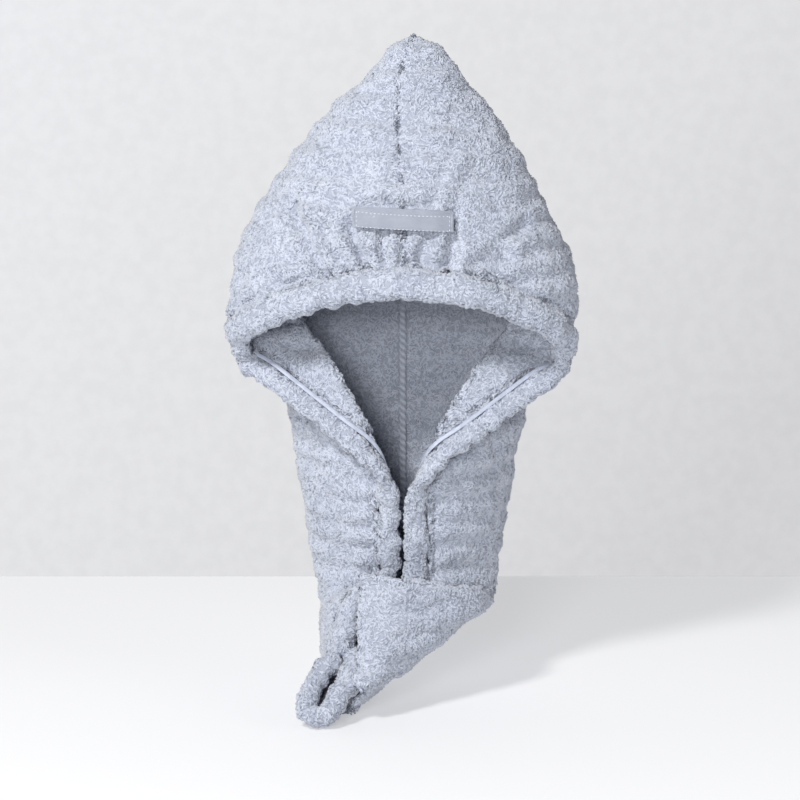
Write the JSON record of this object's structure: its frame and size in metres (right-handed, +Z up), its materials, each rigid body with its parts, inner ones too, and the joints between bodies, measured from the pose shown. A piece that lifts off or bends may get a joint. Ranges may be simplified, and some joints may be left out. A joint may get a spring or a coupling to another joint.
{
  "type": "hair turban towel",
  "caption": "Hooded pile-fleece hair turban with a pointed crown, rolled brow hem, turned-out lapels and a tail that folds forward.",
  "frame": {"origin": "centre line of the hood inside the crown, where the top of the head bears", "axes": "+Z up towards the tip of the crown, -Y the way the face opening looks, +X to the right as seen from the front"},
  "size_m": [0.2429, 0.1991, 0.4561],
  "materials": {
    "left_panel": "pile fleece",
    "right_panel": "pile fleece",
    "brow_hem": "pile fleece",
    "left_front_hem": "pile fleece",
    "right_front_hem": "pile fleece",
    "left_hem_tape": "satin tape",
    "right_hem_tape": "satin tape",
    "back_seam_tape": "twisted cord",
    "strap": "plain woven",
    "tail_loop": "pile fleece"
  },
  "bodies": {
    "root": {"left_panel": "left_panel", "right_panel": "right_panel", "brow_hem": "brow_hem", "left_front_hem": "left_front_hem", "right_front_hem": "right_front_hem", "left_hem_tape": "left_hem_tape", "right_hem_tape": "right_hem_tape", "back_seam_tape": "back_seam_tape", "strap": "strap", "tail_loop": "tail_loop"}
  },
  "joints": []
}
